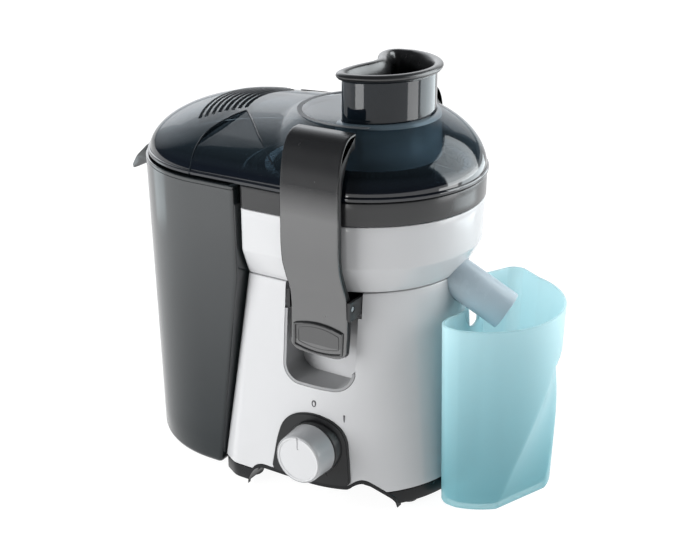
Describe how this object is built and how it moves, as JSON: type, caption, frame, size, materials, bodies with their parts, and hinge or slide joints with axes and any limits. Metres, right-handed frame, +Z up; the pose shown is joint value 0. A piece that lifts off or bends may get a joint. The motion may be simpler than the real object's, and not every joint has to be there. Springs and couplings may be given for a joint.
{
  "type": "centrifugal juicer",
  "caption": "Compact centrifugal juicer: motor base with dial, spinning filter basket, lid with feed chute and pusher, side latches, pulp container and juice cup.",
  "frame": {"origin": "middle of the whole object's footprint, on the worktop that the feet and the juice cup stand on", "axes": "+Z up along the motor axis; +X from the pulp container to the juice cup; -Y towards the user, with the dial"},
  "size_m": [0.3707, 0.2102, 0.3249],
  "materials": {
    "white_plastic": "glossy moulded",
    "grey_plastic": "satin moulded",
    "dark_plastic": "satin moulded",
    "smoke_clear": "clear smoky blue, polished",
    "smoke_grey": "translucent smoky grey, polished",
    "aqua_clear": "translucent aqua, soft gloss",
    "spout_clear": "translucent, polished",
    "rubber": "matt",
    "steel": "brushed",
    "copper": "enamelled wire",
    "ink": "printed mark"
  },
  "bodies": {
    "base": {"base_plate": "dark_plastic", "base_screw_1": "steel", "base_screw_2": "steel", "base_screw_3": "steel", "base_screw_4": "steel", "bowl_collar": "grey_plastic", "control_panel": "dark_plastic", "cord_inlet": "dark_plastic", "dial_mark_off": "ink", "dial_mark_on": "ink", "foot_front_left": "rubber", "foot_front_right": "rubber", "foot_rear_left": "rubber", "foot_rear_right": "rubber", "front_latch_bracket": "dark_plastic", "front_latch_pin": "steel", "front_latch_trim": "grey_plastic", "juice_bowl": "white_plastic", "juice_spout": "spout_clear", "lower_bearing": "steel", "motor_bracket": "steel", "motor_can": "steel", "motor_grommet_1": "rubber", "motor_grommet_2": "rubber", "motor_grommet_3": "rubber", "motor_grommet_4": "rubber", "motor_housing": "white_plastic", "motor_post_1": "dark_plastic", "motor_post_2": "dark_plastic", "motor_post_3": "dark_plastic", "motor_post_4": "dark_plastic", "rear_latch_bracket": "dark_plastic", "rear_latch_pin": "steel", "rear_latch_trim": "grey_plastic", "rotary_switch": "dark_plastic", "shaft_seal": "rubber", "upper_bearing": "steel"},
    "drive": {"motor_armature": "copper", "cooling_fan": "dark_plastic", "drive_coupling": "grey_plastic", "filter_basket": "steel", "basket_hub": "grey_plastic", "grater_disc": "steel"},
    "knob": {"speed_knob": "white_plastic", "switch_shaft": "steel"},
    "lid": {"lid": "smoke_clear", "lid_seal": "rubber"},
    "pusher": {"food_pusher": "grey_plastic"},
    "container": {"pulp_container": "smoke_grey"},
    "cup": {"juice_cup": "aqua_clear"},
    "front_latch_arm": {"front_latch": "grey_plastic", "front_latch_plate": "grey_plastic"},
    "rear_latch_arm": {"rear_latch": "grey_plastic", "rear_latch_plate": "grey_plastic"}
  },
  "joints": [
    {"name": "drive_spin", "type": "hinge", "parent": "base", "child": "drive", "pos_m": [0.0329, 0.0079, 0.15], "axis": [0, 0, 1], "continuous": true},
    {"name": "knob_turn", "type": "hinge", "parent": "base", "child": "knob", "pos_m": [0.0414, -0.0855, 0.0515], "axis": [0, 1, 0], "range_deg": [0, 42]},
    {"name": "lid_lift", "type": "slide", "parent": "base", "child": "lid", "axis": [0, 0, 1], "range_m": [0, 0.045]},
    {"name": "pusher_lift", "type": "slide", "parent": "lid", "child": "pusher", "axis": [0, 0, 1], "range_m": [0, 0.1]},
    {"name": "front_latch_swing", "type": "hinge", "parent": "base", "child": "front_latch_arm", "pos_m": [0.0429, -0.0735, 0.1665], "axis": [1, 0, 0], "range_deg": [0, 22]},
    {"name": "rear_latch_swing", "type": "hinge", "parent": "base", "child": "rear_latch_arm", "pos_m": [0.0229, 0.0893, 0.1665], "axis": [-1, 0, 0], "range_deg": [0, 22]},
    {"name": "container_slide", "type": "slide", "parent": "base", "child": "container", "axis": [-1, 0, 0], "range_m": [0, 0.12]},
    {"name": "cup_slide", "type": "slide", "parent": "base", "child": "cup", "axis": [0.9707, 0.2403, 0], "range_m": [0, 0.12]}
  ],
  "couplings": [
    {"joint": "front_latch_swing", "follows": "lid_lift", "rad_per_m": 8.53},
    {"joint": "rear_latch_swing", "follows": "lid_lift", "rad_per_m": 8.53}
  ]
}
